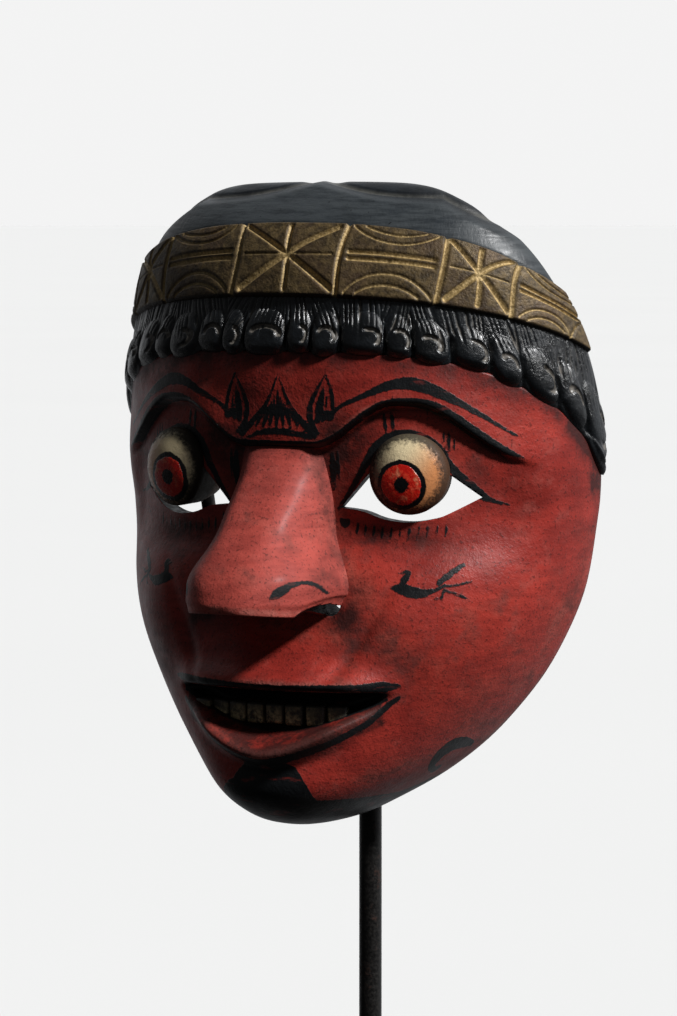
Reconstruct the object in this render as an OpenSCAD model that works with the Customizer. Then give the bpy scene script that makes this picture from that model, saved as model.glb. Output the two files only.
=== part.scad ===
// Carved and painted dance mask held on a forked display stand.
// The origin is the centre of the stand's foot on the table. +Z is up, the mask faces -Y, and +X is the
// mask's own left.

/* [Mask] */
// widest part of the face, rim to rim
mask_w = 146; // [110:1:190]
// chin to the top of the cap
mask_h = 178; // [140:1:230]
// rim plane to the forehead
mask_d = 50; // [38:1:66]
// thickness of the carved wall
wall = 6.5; // [5:0.1:9]
// height of the chin above the table
chin_height = 140; // [90:1:260]

/* [Face] */
// how far the nose tip stands in front of the forehead
nose_reach = 29.5; // [22:0.5:44]
// half the width of the nose across its wings
nose_half = 23.3; // [18:0.1:28]
// radius of the turned wooden eyeball
eye_r = 11; // [9:0.1:12.5]
// distance of each eye from the middle of the face
eye_x = 35.4; // [32:0.1:39]
// upper teeth in the row
teeth = 8; // [6:1:10]

/* [Headdress] */
// how far the band stands out of the shell
band_t = 5.2; // [3.5:0.1:8]
// how far the hair curls stand out of the shell
hair_t = 5; // [3.5:0.1:8]
// how far the cap stands out of the shell
cap_t = 3.4; // [2.5:0.1:6]
// hair curls from one side of the brow to the other
curls = 13; // [9:2:17]

/* [Stand] */
// iron rod, diameter
rod_dia = 6.4; // [5:0.1:10]
// bar of the fork, diameter
prong_dia = 4; // [3:0.1:6]
// soft sleeve on each prong tip, wall thickness
sleeve_t = 1; // [0.6:0.1:2]
// wooden foot, side of the square
base_w = 130; // [100:1:200]
// wooden foot, height
base_h = 24; // [16:0.5:40]
// felt under the foot
felt_t = 1.5; // [1:0.1:4]
// edge chamfer of the foot
base_edge = 3; // [1:0.5:6]

/* [Hidden] */
$fn = 96;
kx = mask_w/146;
ky = mask_d/50;
kz = mask_h/178;
eye_level = chin_height+98.5*kz;
rod_r = rod_dia/2;
prong_r = prong_dia/2;
sleeve_r = prong_r+sleeve_t;
seat_gap = 0.3; // between the sleeves and the wood they carry
run_gap = 0.05; // rod in its bush
bush_r = rod_r+1.8;
boss_r = bush_r+4;
flange_r = 24;
flange_t = 4;
boss_h = 16;
base_top = felt_t+base_h;
bush_top = base_top+boss_h+1.2;
screw_ring = (boss_r+flange_r)/2+0.4;
foot_depth = 12; // of the rod below the top of the foot
fork_z = -58*kz; // where the fork sits on the rod, from eye level

// The carving is laid out at its design size and stretched to the sizes above.
// Each level of the face: height from the eyes, half width, depth in front of the rim plane, rim.
levels = [[-98.5, 0, 27, -27], [-97, 8, 44, -24], [-93, 16.5, 55, -17], [-84, 30, 62, -8],
  [-72, 43, 62, -2.5], [-55, 56.5, 59, 0], [-35, 66.8, 55, 0], [-14, 71.3, 51.5, 0], [6, 73, 50.5, 0],
  [24, 71.6, 51, -2.5], [40, 68, 48.5, -7], [55, 61.7, 45.5, -14], [66, 52.8, 41, -19],
  [74, 42, 34, -22.5], [78.5, 28, 29, -24], [79.5, 0, 25, -25]];
top = len(levels)-1;
level_at = [for (i = [0:top]) [levels[i][0], i]];

function ramp(a, b, v) = let (t = min(1, max(0, (v-a)/(b-a)))) t*t*(3-2*t);
function mound(x, z, cx, cz, rx, rz) = exp(-pow((x-cx)/rx, 2)-pow((z-cz)/rz, 2));
function at(i) = levels[min(top, max(0, i))];
function level(s) = let (i = min(top-1, floor(s)), f = s-i, a = at(i-1), b = at(i), c = at(i+1), d = at(i+2))
  0.5*(2*b+(c-a)*f+(2*a-5*b+4*c-d)*f*f+(3*b-a-3*c+d)*f*f*f);

// Where the hair, the band and the cap start, at each angle round the face.
function hair_line(a) = lookup(33-34*pow(abs(a)/90, 3.2), level_at);
function band_low(a) = lookup(46.5-15*pow(abs(a)/90, 2.4), level_at);
function band_high(a) = lookup(66.5-19*pow(abs(a)/90, 3.2), level_at);

// Plain dome, and the direction in which its wall has thickness.
function dome(s, a) = let (q = level(s), p = 2/(2+0.4*ramp(8, 53, -q[0])))
  [q[1]*sign(a)*pow(abs(sin(a)), p), q[3]-(q[2]+q[3])*pow(abs(cos(a)), p), q[0]];
function outward(s, a) = let (q = level(s), v = dome(s, a)-[0, q[3], 0.55*q[0]]) v/norm(v);

// Carving of the face: positive stands forward.
function brow_edge(x) = 8+11*ramp(11, 33, x)-16*ramp(38, 66, x);
function mouth_low(x) = -60-11.5*sqrt(max(0, 1-pow(x/33, 2)));
function carving(x, z) = let (ax = abs(x), drop = brow_edge(ax)-z)
  -3.8*ramp(-1.6, 3.4, drop)*ramp(-30, -12, z)*(1-ramp(56, 68, ax))*(0.6+0.4*ramp(6, 14, ax))
  +1.2*ramp(-14, -1, -drop)*(1-ramp(0, 14, -drop))
  +4.2*mound(ax, z, 35.4, -1, 15, 13)
  +2.4*mound(ax, z, 38, -36, 16, 15)
  +3*mound(ax, z, 0, -52, 20, 7)
  +4.6*mound(0, z, 0, -58, 1, 3.6)*(1-ramp(24, 38, ax))
  +5.4*mound(0, z, 0, mouth_low(ax)-3, 1, 4)*(1-ramp(22, 36, ax))
  -8*ramp(-0.5, 4, -60-z)*ramp(-0.5, 4, z-mouth_low(ax))*(1-ramp(25, 33, ax))
  +3*mound(x, z, 0, -88, 22, 7);
function face_y(x, z) = let (q = level(lookup(z, level_at)), p = 2/(2+0.4*ramp(8, 53, -z)),
    s = pow(min(1, abs(x)/q[1]), 1/p))
  q[3]-(q[2]+q[3])*pow(1-s*s, p/2)-carving(x, z);

// Grid over the mask: columns from rim to rim, rows from the chin to the cap.
cols = 52;
face_rows = 44;
hair_rows = 4;
band_rows = 5;
cap_rows = 5;
hair_top = face_rows+hair_rows;
band_top = hair_top+band_rows;
rows = band_top+cap_rows;
sunk = 3; // the wood is carved back this far under the hair, the band and the cap

function angle(i) = let (u = 2*i/cols-1) 90*(0.62*u+0.38*u*u*u);
function blend(a, b, t) = a+(b-a)*t;
function row(j, a) = j <= face_rows ? hair_line(a)*j/face_rows
  : j <= hair_top ? blend(hair_line(a), band_low(a), (j-face_rows)/hair_rows)
  : j <= band_top ? blend(band_low(a), band_high(a), (j-hair_top)/band_rows)
  : blend(band_high(a), top, (j-band_top)/cap_rows);
function skin(i, j) = let (a = angle(i), s = row(j, a), v = dome(s, a))
  j <= face_rows ? v-[0, carving(v[0], v[2]), 0] : v-sunk*outward(s, a);
function hollow(i, j) = let (a = angle(i), s = row(j, a), v = dome(s, a))
  v-(wall+5*mound(v[0], v[2], 0, -64, 40, 15)*cos(a))*outward(s, a);
function stretched(points) = [for (v = points) [v[0]*kx, v[1]*ky, v[2]*kz]];

// Triangles of a grid m wide and n high; id(i, j) is the number of a corner.
function sheet(m, n, id, back = false) = [for (j = [0:n-1], i = [0:m-1]) let (a = id(i, j), b = id(i+1, j),
    c = id(i+1, j+1), d = id(i, j+1)) for (t = back ? [[a, b, c], [a, c, d]] : [[a, c, b], [a, d, c]])
  if (t[0] != t[1] && t[1] != t[2] && t[0] != t[2]) t];

module eye_place(side) {
  translate([side*eye_x*kx, -39*ky, eye_level]) rotate([90, 0, side*15]) children();
}

// Passage of one nostril, from under the nose tip back through the shell.
module nostril(side) {
  translate([side*16.5*kx, -74*ky, eye_level-39.5*kz]) rotate([-78, 0, 0]) cylinder(h = 46*ky, r = 2.6);
}

module eye_openings() {
  for (side = [-1, 1]) eye_place(side) {
    translate([0, 0, -12]) cylinder(h = 32, r = eye_r-0.6);
    translate([0, 0, -12]) linear_extrude(32) lid_leaf(side);
  }
}

// Opening of the lids beside and under the ball, seen from the front.
module lid_leaf(side) {
  polygon([for (p = [[-17, -9.3], [-12.5, -1.5], [-8, 2], [8, 2], [10.8, -1], [18.5, -6.3], [11.5, -10],
    [7, -12.6], [0, -13.8], [-7, -12.8], [-13, -10]]) [side*p[0], p[1]]]);
}

module mask_shell() {
  m = cols/2;
  n = rows/2;
  out = function (i, j) j == 0 ? 0 : j == rows ? 1 : 2+(j-1)*(cols+1)+i;
  first = 2+(rows-1)*(cols+1);
  in = function (i, j) j == 0 ? first : j == n ? first+1 : first+2+(j-1)*(m+1)+i;
  points = concat([skin(0, 0), skin(0, rows)], [for (j = [1:rows-1], i = [0:cols]) skin(i, j)],
    [hollow(0, 0), hollow(0, rows)], [for (j = [1:n-1], i = [0:m]) hollow(2*i, 2*j)]);
  rim = [for (k = [0:n-1], side = [0, 1]) let (o = side*cols, p = side*m, a = out(o, 2*k),
      b = out(o, 2*k+1), c = out(o, 2*k+2), d = in(p, k+1), e = in(p, k))
    for (t = [[a, b, e], [b, d, e], [b, c, d]]) side == 1 ? t : [t[0], t[2], t[1]]];
  color("#8c3a33") difference() {
    translate([0, 0, eye_level]) polyhedron(stretched(points),
      concat(sheet(cols, rows, out), sheet(m, n, in, true), rim));
    eye_openings();
    for (side = [-1, 1]) nostril(side);
  }
}

// A layer of even wall on the shell between two rows, h(i, j) thick. It may close at the top of the cap.
module layer(low, high, h) {
  n = high-low;
  capped = high == rows;
  w = cols+1;
  full = capped ? n : n+1;
  front = function (i, j) capped && j == n ? 2*full*w : j*w+i;
  back = function (i, j) capped && j == n ? 2*full*w+1 : (full+j)*w+i;
  spot = function (i, j) [for (t = [0, 1]) skin(i, j)+t*h(i, j)*outward(row(j, angle(i)), angle(i))];
  grid = [for (j = [low:low+full-1], i = [0:cols]) spot(i, j)];
  peak = capped ? spot(0, rows) : [];
  points = concat([for (v = grid) v[1]], [for (v = grid) v[0]], capped ? [peak[1], peak[0]] : []);
  foot = [for (i = [0:cols-1]) each [[front(i, 0), front(i+1, 0), back(i+1, 0)],
    [front(i, 0), back(i+1, 0), back(i, 0)]]];
  head = capped ? [] : [for (i = [0:cols-1]) each [[front(i, n), back(i+1, n), front(i+1, n)],
    [front(i, n), back(i, n), back(i+1, n)]]];
  ends = [for (j = [0:n-1], s = [0, 1]) let (e = s*cols, a = front(e, j), b = front(e, j+1),
      c = back(e, j+1), d = back(e, j)) for (t = [[a, b, c], [a, c, d]]) s == 1 ? t : [t[0], t[2], t[1]]];
  translate([0, 0, eye_level]) polyhedron(stretched(points),
    concat(sheet(cols, n, front), sheet(cols, n, back, true), foot, head, ends));
}

module hair_fringe() {
  color("#1c1e1c") layer(face_rows, hair_top, function (i, j) let (u = (j-face_rows)/hair_rows)
    hair_t*(0.55+0.45*ramp(0, 0.4, u)-0.25*ramp(0.6, 1, u))*(0.72+0.28*abs(cos(90*curls*(2*i/cols-1)))));
}

module headband() {
  color("#8f7c55") layer(hair_top, band_top, function (i, j) let (u = (j-hair_top)/band_rows,
      bar = abs(sin(90*5*(2*i/cols-1)))) band_t*(0.8+0.2*max(ramp(0.25, 0, u), ramp(0.75, 1, u), bar < 0.35 ? 1 : 0)));
}

module cap_crown() {
  color("#3a4248") layer(band_top, rows, function (i, j) cap_t);
}

// The nose is carved apart and let into the face.
nose_rows = 18;
nose_cols = 22;
function nose_z(t) = 7.4-42.8*t-1.2*ramp(0.96, 1, t);
function nose_half_at(t) = blend(13.5, 16.8, ramp(0, 0.6, t))+(nose_half-16.8)*ramp(0.5, 0.86, t)
  -1.5*ramp(0.94, 1, t);
function nose_out(t) = nose_reach*(0.12+0.88*pow(t, 0.62))*ramp(-0.04, 0.2, t)-1.2*ramp(0.96, 1, t);
function nose_point(i, j, front) = let (t = j/nose_rows, v = 2*i/nose_cols-1, u = v*(1.3-0.3*v*v),
    x = nose_half_at(t)*u, z = nose_z(t)-2.7*t*u*u, y = face_y(x, z))
  [x, front ? y-0.2-nose_out(t)*(1-pow(abs(u), 2.4)) : y+0.7, z];

module nose() {
  w = nose_cols+1;
  front = function (i, j) j*w+i;
  back = function (i, j) (nose_rows+1+j)*w+i;
  points = [for (f = [true, false], j = [nose_rows:-1:0], i = [0:nose_cols]) nose_point(i, j, f)];
  caps = [for (i = [0:nose_cols-1]) each [[front(i, 0), front(i+1, 0), back(i+1, 0)],
    [front(i, 0), back(i+1, 0), back(i, 0)], [front(i, nose_rows), back(i+1, nose_rows), front(i+1, nose_rows)],
    [front(i, nose_rows), back(i, nose_rows), back(i+1, nose_rows)]]];
  ends = [for (j = [0:nose_rows-1], s = [0, 1]) let (e = s*nose_cols, a = front(e, j), b = front(e, j+1),
      c = back(e, j+1), d = back(e, j)) for (t = [[a, b, c], [a, c, d]]) s == 1 ? t : [t[0], t[2], t[1]]];
  color("#a04a42") difference() {
    translate([0, 0, eye_level]) polyhedron(stretched(points),
      concat(sheet(nose_cols, nose_rows, front), sheet(nose_cols, nose_rows, back, true), caps, ends));
    for (side = [-1, 1]) nostril(side);
  }
}

// Turned ball with a flat back, pressed into the round part of the opening.
module eyeball(side) {
  color("#d6b48c") eye_place(side) difference() {
    sphere(r = eye_r);
    translate([-20, -20, -26]) cube([40, 40, 20]);
  }
}

module left_eyeball() {
  eyeball(1);
}

module right_eyeball() {
  eyeball(-1);
}

module upper_teeth() {
  pitch = 46/teeth;
  color("#8d8468") for (k = [0:teeth-1]) let (x = (k-(teeth-1)/2)*pitch, y = face_y(x, -66)-0.8,
      turn = atan(x/75))
    translate([x*kx, y*ky, eye_level-61.6*kz]) rotate([90, 0, turn]) linear_extrude(5.4) {
      translate([-pitch*kx/2+0.25, -5.2]) square([pitch*kx-0.5, 5.4]);
      translate([0, -4.9]) circle(r = pitch*kx/2-0.25);
    }
}

// Leather tab inside the mouth that the dancer bites on; it lies against the thick wall behind the teeth.
strap_y = max([for (i = [cols/2:cols/2+6], j = [14:22]) hollow(i, j)[1]])*ky-0.3;

module bite_strap() {
  color("#6b4a30") translate([0, strap_y, eye_level-61*kz]) rotate([90, 0, 90])
    translate([0, 0, -12]) linear_extrude(24) {
      translate([0, 4]) square([2, 16]);
      translate([6, 0]) difference() {
        translate([-2, 4]) intersection() {
          circle(r = 4);
          translate([-4, -4]) square(4);
        }
        translate([-2, 4]) circle(r = 2);
      }
      translate([4, 0]) square([22*ky, 2]);
    }
}

module strap_tacks() {
  color("#5c564c") for (x = [-7, 7]) translate([x, strap_y+1.9, eye_level-48*kz]) rotate([-90, 0, 0]) {
    intersection() {
      translate([0, 0, -2.4]) sphere(r = 4);
      cylinder(h = 3, r = 4);
    }
    translate([0, 0, -6]) cylinder(h = 6.2, r = 0.8);
  }
}

// Stand, from the fork down.
prong_lean = 2.4;
bend_r = 16;
tip_z = 48*kz;
tip_y = -20*ky;
tip_x = (60.9-wall)*kx-sleeve_r-seat_gap;
fork_lean = atan(-tip_y/(tip_z-fork_z));
fork_reach = sqrt(tip_y*tip_y+pow(tip_z-fork_z, 2));
prong_len = (fork_reach-bend_r*(1-sin(prong_lean)))/cos(prong_lean);
bar_half = tip_x-bend_r*cos(prong_lean)-prong_len*sin(prong_lean);

module fork_place() {
  translate([0, 0, eye_level+fork_z]) rotate([fork_lean, 0, 0]) children();
}

// Carries a piece to a prong's tip, with its own +Z along the prong.
module prong_place(side) {
  fork_place() translate([side*tip_x, 0, fork_reach]) rotate([0, side*prong_lean, 0]) children();
}

module fork_bar(r) {
  fork_place() rotate([0, 90, 0]) translate([0, 0, -bar_half]) cylinder(h = 2*bar_half, r = r);
}

// The bends are drawn a hair thinner than the straight bar, so each end lies inside it.
module fork() {
  run = 0.3;
  color("#1b1b1a") fork_place() {
    rotate([0, 90, 0]) translate([0, 0, -bar_half-run]) cylinder(h = 2*(bar_half+run), r = prong_r);
    for (turn = [0, 180]) rotate([0, 0, turn]) {
      translate([bar_half, 0, bend_r]) rotate([90, 0, 0]) rotate([0, 0, -90])
        rotate_extrude(angle = 90-prong_lean) translate([bend_r, 0]) circle(r = prong_r-0.03);
      translate([tip_x, 0, fork_reach]) rotate([0, prong_lean, 0]) translate([0, 0, -prong_len-run])
        cylinder(h = prong_len+run, r = prong_r);
    }
  }
}

module prong_sleeve(side) {
  color("#2b2a28") prong_place(side) difference() {
    union() {
      translate([0, 0, -20]) cylinder(h = 20, r = sleeve_r);
      sphere(r = sleeve_r);
    }
    translate([0, 0, -21]) cylinder(h = 21, r = prong_r);
  }
}

module left_prong_sleeve() {
  prong_sleeve(1);
}

module right_prong_sleeve() {
  prong_sleeve(-1);
}

module rod() {
  color("#171716") difference() {
    translate([0, 0, base_top-foot_depth]) cylinder(h = eye_level+fork_z-base_top+foot_depth, r = rod_r);
    fork_bar(prong_r);
  }
}

module weld_bead() {
  color("#2a2825") translate([0, 0, eye_level+fork_z]) difference() {
    rotate_extrude() polygon([[rod_r, -6], [rod_r+0.5, -6], [rod_r+1.6, -2.5], [rod_r+1.7, -0.5],
      [rod_r+1, 0.8], [rod_r, 0.8]]);
    rotate([fork_lean, 0, 0]) rotate([0, 90, 0]) translate([0, 0, -12]) cylinder(h = 24, r = prong_r);
  }
}

// Ring on the rod that turns on top of the bush and carries the weight.
collar_h = 8;
collar_r = rod_r+4;

module stop_collar() {
  color("#343331") translate([0, 0, bush_top]) difference() {
    rotate_extrude() polygon([[rod_r, 0], [collar_r-0.5, 0], [collar_r, 0.5], [collar_r, collar_h-0.5],
      [collar_r-0.5, collar_h], [rod_r, collar_h]]);
    translate([0, 0, collar_h/2]) rotate([-90, 0, 0]) cylinder(h = 20, r = 1.5);
  }
}

module set_screw(length, r) {
  difference() {
    cylinder(h = length, r = r);
    translate([0, 0, length-1.2]) cylinder(h = 2, r = r*0.6, $fn = 6);
  }
}

module collar_screw() {
  color("#55534e") translate([0, rod_r, bush_top+collar_h/2]) rotate([-90, 0, 0])
    set_screw(collar_r-rod_r-0.4, 1.5);
}

// Foot of the stand.
module base_block() {
  b = base_w/2;
  c = base_edge;
  z0 = felt_t;
  color("#33261c") difference() {
    intersection() {
      translate([0, 0, z0]) linear_extrude(base_h) polygon([[-b, -b+c], [-b+c, -b], [b-c, -b], [b, -b+c],
        [b, b-c], [b-c, b], [-b+c, b], [-b, b-c]]);
      rotate([90, 0, 0]) translate([0, 0, -base_w]) linear_extrude(2*base_w)
        polygon([[-b, z0], [b, z0], [b, z0+base_h-c], [b-c, z0+base_h], [-b+c, z0+base_h], [-b, z0+base_h-c]]);
      rotate([90, 0, 90]) translate([0, 0, -base_w]) linear_extrude(2*base_w)
        polygon([[-b, z0], [b, z0], [b, z0+base_h-c], [b-c, z0+base_h], [-b+c, z0+base_h], [-b, z0+base_h-c]]);
    }
    translate([0, 0, base_top-foot_depth-1]) cylinder(h = foot_depth+2, r = rod_r+0.5);
    for (k = [0:2]) rotate([0, 0, 120*k+30]) translate([screw_ring, 0, base_top-15]) cylinder(h = 16, r = 1.6);
  }
}

module felt_pad() {
  color("#2f3331") translate([-base_w/2+3, -base_w/2+3, 0]) cube([base_w-6, base_w-6, felt_t]);
}

module socket_flange() {
  color("#3b3936") difference() {
    translate([0, 0, base_top]) rotate_extrude() polygon([[bush_r, 0], [flange_r, 0], [flange_r, flange_t-1],
      [flange_r-1, flange_t], [boss_r+1.5, flange_t], [boss_r, flange_t+1.5], [boss_r, boss_h-0.8],
      [boss_r-0.8, boss_h], [bush_r, boss_h]]);
    for (k = [0:2]) rotate([0, 0, 120*k+30]) translate([screw_ring, 0, base_top]) {
      translate([0, 0, -1]) cylinder(h = flange_t+2, r = 1.8);
      translate([0, 0, flange_t-2]) cylinder(h = 2, r1 = 1.8, r2 = 3.8);
    }
    translate([0, 0, base_top+boss_h-5]) rotate([-90, 0, 0]) cylinder(h = 20, r = 2);
  }
}

module socket_bush() {
  color("#a98c4e") difference() {
    translate([0, 0, base_top]) rotate_extrude() polygon([[rod_r+run_gap, 0], [bush_r, 0], [bush_r, boss_h],
      [boss_r-1, boss_h], [boss_r-1, boss_h+1.2], [rod_r+run_gap, boss_h+1.2]]);
    translate([0, 0, base_top+boss_h-5]) rotate([-90, 0, 0]) cylinder(h = 20, r = 2);
  }
}

module flange_screws() {
  color("#6b6862") for (k = [0:2]) rotate([0, 0, 120*k+30]) translate([screw_ring, 0, base_top])
    difference() {
      union() {
        translate([0, 0, -12.5]) cylinder(h = 12.5+flange_t-1.9, r = 1.6);
        translate([0, 0, -14]) cylinder(h = 1.5, r1 = 0.3, r2 = 1.6);
        translate([0, 0, flange_t-2]) cylinder(h = 1.9, r1 = 1.7, r2 = 3.6);
      }
      translate([-4, -0.4, flange_t-1]) cube([8, 0.8, 2]);
    }
}

// Backed off, so that the rod is free to turn; tightened, it locks it.
module grub_screw() {
  color("#55534e") translate([0, rod_r+0.6, base_top+boss_h-5]) rotate([-90, 0, 0])
    set_screw(boss_r-rod_r+0.6, 2);
}

mask_shell();
nose();
left_eyeball();
right_eyeball();
upper_teeth();
hair_fringe();
headband();
cap_crown();
bite_strap();
strap_tacks();
rod();
fork();
weld_bead();
left_prong_sleeve();
right_prong_sleeve();
stop_collar();
collar_screw();
base_block();
felt_pad();
socket_flange();
socket_bush();
flange_screws();
grub_screw();
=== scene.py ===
import math

import bmesh
import bpy
import numpy as np
from mathutils import Matrix, Vector


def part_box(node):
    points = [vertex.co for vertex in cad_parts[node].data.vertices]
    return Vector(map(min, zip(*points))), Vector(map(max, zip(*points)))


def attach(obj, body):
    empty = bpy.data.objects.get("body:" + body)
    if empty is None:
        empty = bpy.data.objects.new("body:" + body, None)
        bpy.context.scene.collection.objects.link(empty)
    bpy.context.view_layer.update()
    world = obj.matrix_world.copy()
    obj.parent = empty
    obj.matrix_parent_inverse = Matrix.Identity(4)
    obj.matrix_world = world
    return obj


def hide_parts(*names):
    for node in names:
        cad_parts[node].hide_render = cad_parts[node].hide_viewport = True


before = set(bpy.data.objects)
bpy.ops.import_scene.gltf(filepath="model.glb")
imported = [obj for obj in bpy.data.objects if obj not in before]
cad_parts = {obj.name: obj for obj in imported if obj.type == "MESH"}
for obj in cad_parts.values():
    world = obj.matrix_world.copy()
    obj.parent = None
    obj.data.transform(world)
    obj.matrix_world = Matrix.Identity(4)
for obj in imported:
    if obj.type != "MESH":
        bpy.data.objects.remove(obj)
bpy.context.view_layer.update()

# The carving is worked out in millimetres from a point between the eyes, in the mask's own directions:
# x to its left, y towards its back, z up. The chin's lowest point sets the height of the eyes.
chinBelowEyes = 98.5
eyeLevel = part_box("mask_shell")[0].z * 1000 + chinBelowEyes


def inFrame(points):
    return (np.asarray(points, float) + [0, 0, eyeLevel]) / 1000


def ramp(start, end, value):
    t = np.clip((value - start) / (end - start), 0, 1)
    return t * t * (3 - 2 * t)


def mound(x, z, cx, cz, rx, rz):
    return np.exp(-((x - cx) / rx) ** 2 - ((z - cz) / rz) ** 2)


def curveBetween(a, b, c, d, f):
    # the way from b to c, led in by a and out by d
    return 0.5 * (2 * b + (c - a) * f + (2 * a - 5 * b + 4 * c - d) * f ** 2
                  + (3 * b - a - 3 * c + d) * f ** 3)


def smoothLine(points, steps=5):
    p = np.array([points[0], *points, points[-1]], float)
    made = [curveBetween(*p[i:i + 4], f) for i in range(len(points) - 1) for f in np.arange(steps) / steps]
    return np.array(made + [p[-1]])


def lengthAlong(line):
    return np.concatenate([[0], np.cumsum(np.linalg.norm(np.diff(line, axis=0), axis=1))])


def roundOff(way):
    # a quarter round, from 0 at the edge to 1 where way is 1
    return np.sqrt(np.clip(1 - (1 - np.clip(way, 0, 1)) ** 2, 0, 1))


# each level of the face: height from the eyes, half width, depth in front of the rim plane, rim
levels = np.array([
    [-98.5, 0, 27, -27], [-97, 8, 44, -24], [-93, 16.5, 55, -17], [-84, 30, 62, -8],
    [-72, 43, 62, -2.5], [-55, 56.5, 59, 0], [-35, 66.8, 55, 0], [-14, 71.3, 51.5, 0],
    [6, 73, 50.5, 0], [24, 71.6, 51, -2.5], [40, 68, 48.5, -7], [55, 61.7, 45.5, -14],
    [66, 52.8, 41, -19], [74, 42, 34, -22.5], [78.5, 28, 29, -24], [79.5, 0, 25, -25]])
topLevel = len(levels) - 1


def levelAt(s):
    s = np.asarray(s, float)
    i = np.clip(np.floor(s).astype(int), 0, topLevel - 1)
    f = (s - i)[..., None]
    a, b, c, d = (levels[np.clip(i + k, 0, topLevel)] for k in (-1, 0, 1, 2))
    return curveBetween(a, b, c, d, f)


def levelOf(z):
    return np.interp(z, levels[:, 0], np.arange(topLevel + 1))


def squareness(z):
    # the power that rounds a level's outline; the jaw is a little fuller than an ellipse
    return 2 / (2 + 0.4 * ramp(8, 53, -z))


def dome(s, angle):
    # the plain dome before it is carved, by level and by angle round the head from the middle
    q = levelAt(s)
    p = squareness(q[..., 0])
    turn = np.radians(angle)
    return np.stack([q[..., 1] * np.sign(turn) * np.abs(np.sin(turn)) ** p,
                     q[..., 3] - (q[..., 2] + q[..., 3]) * np.abs(np.cos(turn)) ** p,
                     q[..., 0]], -1)


def outward(s, angle):
    # the direction in which its wall has thickness
    q = levelAt(s)
    way = dome(s, angle)
    way[..., 1] -= q[..., 3]
    way[..., 2] -= 0.55 * q[..., 0]
    return way / np.linalg.norm(way, axis=-1, keepdims=True)


def share(angle):
    return np.abs(angle) / 90


# the levels where the hair, the band and the cap start, at each angle
def hairLine(angle):
    return levelOf(33 - 34 * share(angle) ** 3.2)


def bandLow(angle):
    return levelOf(46.5 - 15 * share(angle) ** 2.4)


def bandHigh(angle):
    return levelOf(66 - 19 * share(angle) ** 2.6)


def columnAngle(u):
    return 90 * (0.62 * u + 0.38 * u ** 3)


face = {
    "eyeX": 35.4,       # centre of each eye
    "eyeY": -39.0,
    "eyeTurn": 15.0,    # outward, degrees
    "ball": 11.0,       # radius of the eyeball
    "browStep": 3.2,    # how deep the eye sockets are cut under the brow
    "lipTop": -58.0,
    "lipLow": -77.0,    # outer edge of the lower lip, in the middle
    "mouthX": 3.5,      # the mouth is carved a little to one side
    "mouthHalf": 31.0,
    "recess": 7.2,      # depth of the mouth behind the lips
    "wall": 6.5,
    "columns": 280,
    "faceRows": 226,
    "headRows": 14,
    "innerColumns": 60,
}


def browEdge(x):
    return 7.3 + 11.7 * ramp(11, 33, x) - 16 * ramp(38, 66, x)


def lipDip(x):
    # how far up the lower lip has come on its way to the corners, from 0 to 1
    return np.minimum(np.abs(x - face["mouthX"]) / face["mouthHalf"], 1.3) ** 1.7


def lipOuter(x):
    return face["lipLow"] + 15 * lipDip(x)


def lipInner(x):
    return face["lipLow"] + 7.6 + 9.6 * lipDip(x)


def carving(x, z):
    # how far the wood stands forward of the dome
    ax = np.abs(x)
    drop = browEdge(ax) - z
    lip = face["lipTop"]
    mx = np.abs(x - face["mouthX"])
    socket = ramp(-0.7, 1.9, drop) * ramp(-30, -12, z) * (1 - ramp(56, 68, ax))
    cut = -face["browStep"] * socket * (0.6 + 0.4 * ramp(6, 14, ax))
    cut += 1.2 * ramp(-14, -1, -drop) * (1 - ramp(0, 14, -drop))
    cut += 4.2 * mound(ax, z, face["eyeX"], -1, 15, 13)
    cut += 2.4 * mound(ax, z, 38, -36, 16, 15)
    cut += 3 * mound(ax, z, 0, -52, 20, 7)
    cut += 4.2 * mound(0, z, 0, lip + 1.6, 1, 3.8) * (1 - ramp(22, 37, mx))
    cut += 5.4 * mound(0, z, 0, lipOuter(x) + 1.6, 1, 3.1) * (1 - ramp(16, 33, mx))
    behindLips = ramp(-0.2, 1.3, lip - z) * ramp(-3.5, 4, z - lipInner(x)) * (1 - ramp(25, 33, mx))
    cut -= face["recess"] * behindLips
    cut += 3 * mound(x, z, 0, -88, 22, 7)
    cut -= 1.1 * mound(ax - 0.55 * (z + 45), z, 27, -45, 2.6, 15)    # fold from the nose to the mouth
    cut -= 0.9 * mound(ax, z, 35, -20, 17, 3.5)                      # hollow under the lower lid
    return cut + 0.175 * np.sin(x / 5.1 + 0.8) * np.sin(z / 6.3 + x / 17)    # marks of the gouge


def faceY(x, z):
    q = levelAt(levelOf(z))
    p = squareness(z)
    s = np.minimum(1, np.abs(x) / q[..., 1]) ** (1 / p)
    return q[..., 3] - (q[..., 2] + q[..., 3]) * (1 - s * s) ** (p / 2) - carving(x, z)


def unitGrid(bm, columns, rows):
    # a grid with u from -1 to 1 across and t from 0 to 1 up
    verts = bmesh.ops.create_grid(bm, x_segments=columns, y_segments=rows, size=1)["verts"]
    place = np.array([v.co[:] for v in verts])
    return verts, place[:, 0], (place[:, 1] + 1) / 2


def moveTo(verts, points):
    for v, point in zip(verts, points):
        v.co = point


def addObject(name, data):
    made = bpy.data.objects.new(name, data)
    bpy.context.scene.collection.objects.link(made)
    return made


def meshOf(name, bm):
    mesh = bpy.data.meshes.new(name)
    bm.to_mesh(mesh)
    bm.free()
    return mesh


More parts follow.
